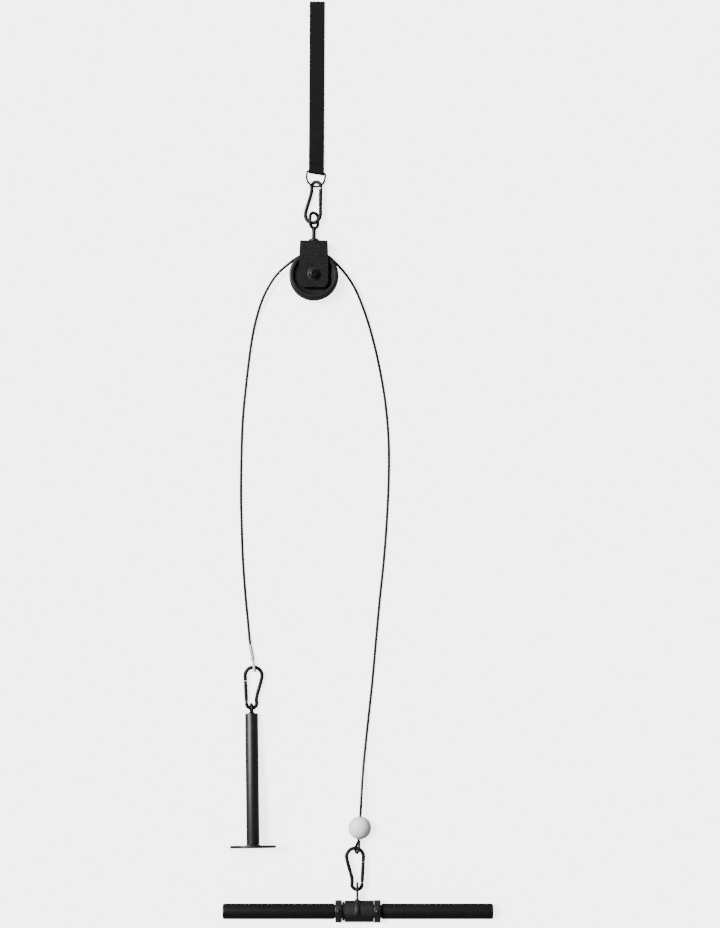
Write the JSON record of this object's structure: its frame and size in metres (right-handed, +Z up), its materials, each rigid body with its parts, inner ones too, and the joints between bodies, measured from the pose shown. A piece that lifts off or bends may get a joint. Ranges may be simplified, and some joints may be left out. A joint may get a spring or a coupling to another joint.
{
  "type": "cable pulley set with loading pin and bar",
  "caption": "Black cable over a swivelling sheave block on a webbing sling, a loading pin hooked to one end and a straight revolving bar hooked to the other below a ball stopper.",
  "frame": {"origin": "on the surface the set lies on, under the middle of its outline", "axes": "+Y from the bar towards the sling, +X to the right seen from above with the sling at the top, +Z up"},
  "size_m": [0.5, 1.7045, 0.085],
  "materials": {
    "black_steel": "satin black",
    "textured_steel": "fine textured black powder coat",
    "bright_steel": "zinc plated",
    "nylon": "smooth black",
    "bronze": "sintered bronze",
    "cable_coat": "smooth black coat",
    "pale_sleeve": "pale translucent",
    "pale_rubber": "matt warm white",
    "webbing": "woven black webbing",
    "grip_rubber": "smooth matt black"
  },
  "bodies": {
    "block": {"block_frame": "textured_steel", "axle_bolt": "black_steel", "axle_nut": "bright_steel", "head_washer": "bright_steel", "nut_washer": "bright_steel", "front_thrust_washer": "bright_steel", "back_thrust_washer": "bright_steel", "swivel_boss": "black_steel", "cable": "cable_coat", "left_ferrule": "pale_sleeve", "left_cable_eye": "pale_sleeve", "right_ferrule": "bright_steel", "right_cable_eye": "cable_coat"},
    "swivel": {"swivel_eye": "black_steel", "swivel_nut": "bright_steel", "swivel_washer": "bright_steel"},
    "top_hook": {"top_hook_body": "black_steel", "top_hook_rivet": "bright_steel"},
    "top_gate": {"top_hook_gate": "black_steel"},
    "d_ring": {"d_ring": "black_steel"},
    "strap": {"strap": "webbing"},
    "sheave": {"sheave": "nylon", "sheave_bush": "bronze"},
    "left_hook": {"left_hook_body": "black_steel", "left_hook_rivet": "bright_steel"},
    "left_gate": {"left_hook_gate": "black_steel"},
    "pin": {"pin_eye_bolt": "black_steel", "pin_top_plug": "black_steel", "pin_tube": "black_steel", "pin_plate": "black_steel"},
    "ball": {"ball_stopper": "pale_rubber"},
    "right_hook": {"right_hook_body": "black_steel", "right_hook_rivet": "bright_steel"},
    "right_gate": {"right_hook_gate": "black_steel"},
    "collar": {"collar_sleeve": "textured_steel", "eye_lug": "black_steel", "collar_bush_left": "nylon", "collar_bush_right": "nylon"},
    "bar": {"bar_tube": "black_steel", "grip_left": "grip_rubber", "grip_right": "grip_rubber", "end_cap_left": "nylon", "end_cap_right": "nylon", "stop_ring_left": "black_steel", "stop_ring_right": "black_steel", "set_screw_left": "black_steel", "set_screw_right": "black_steel"}
  },
  "joints": [
    {"name": "swivel_spin", "type": "hinge", "parent": "block", "child": "swivel", "pos_m": [-0.0814, 0.40726, 0.01572], "axis": [0, 0.9872, -0.1592], "range_deg": [-75, 75]},
    {"name": "top_hook_swing", "type": "hinge", "parent": "swivel", "child": "top_hook", "pos_m": [-0.0829, 0.4413, 0.0106], "axis": [0, 0, 1], "range_deg": [-25, 25]},
    {"name": "d_ring_swing", "type": "hinge", "parent": "top_hook", "child": "d_ring", "pos_m": [-0.0786, 0.5106, 0.0099], "axis": [0, 0, 1], "range_deg": [-12, 7]},
    {"name": "strap_fold", "type": "hinge", "parent": "d_ring", "child": "strap", "pos_m": [-0.0769, 0.5351, 0.00825], "axis": [0.9697, -0.1363, -0.2028], "range_deg": [0, 55]},
    {"name": "sheave_spin", "type": "hinge", "parent": "block", "child": "sheave", "pos_m": [-0.0814, 0.3426, 0.02615], "axis": [0, 0.1592, 0.9872], "continuous": true},
    {"name": "top_gate_open", "type": "hinge", "parent": "top_hook", "child": "top_gate", "pos_m": [-0.06896, 0.50372, 0.01519], "axis": [0.4415, -0.0425, -0.8962], "range_deg": [0, 22], "stiffness_Nm_per_rad": 0.04, "springref_deg": -17.19},
    {"name": "left_gate_open", "type": "hinge", "parent": "left_hook", "child": "left_gate", "pos_m": [-0.20639, -0.44428, 0.01031], "axis": [0, -0.0297, -0.9996], "range_deg": [0, 22], "stiffness_Nm_per_rad": 0.04, "springref_deg": -17.19},
    {"name": "right_gate_open", "type": "hinge", "parent": "right_hook", "child": "right_gate", "pos_m": [0.00779, -0.77833, 0.01929], "axis": [0, 0.0523, 0.9986], "range_deg": [0, 22], "stiffness_Nm_per_rad": 0.04, "springref_deg": -17.19},
    {"name": "left_hook_swing", "type": "hinge", "parent": "block", "child": "left_hook", "pos_m": [-0.1934, -0.3846, 0.0084], "axis": [0, 0, 1], "range_deg": [-14, 25]},
    {"name": "pin_swing", "type": "hinge", "parent": "left_hook", "child": "pin", "pos_m": [-0.197, -0.4574, 0.01145], "axis": [-1, 0, 0], "range_deg": [0, 75]},
    {"name": "right_hook_swing", "type": "hinge", "parent": "block", "child": "right_hook", "pos_m": [-0.0033, -0.7172, 0.0165], "axis": [0, 0, 1], "range_deg": [-15, 15]},
    {"name": "handle_swing", "type": "hinge", "parent": "right_hook", "child": "collar", "pos_m": [-0.0012, -0.7906, 0.02085], "axis": [-1, 0, 0], "range_deg": [0, 75]},
    {"name": "bar_spin", "type": "hinge", "parent": "collar", "child": "bar", "pos_m": [0, -0.83145, 0.02075], "axis": [1, 0, 0], "continuous": true},
    {"name": "ball_slide", "type": "slide", "parent": "block", "child": "ball", "axis": [0.0551, 0.9985, 0], "range_m": [0, 0.02]}
  ]
}
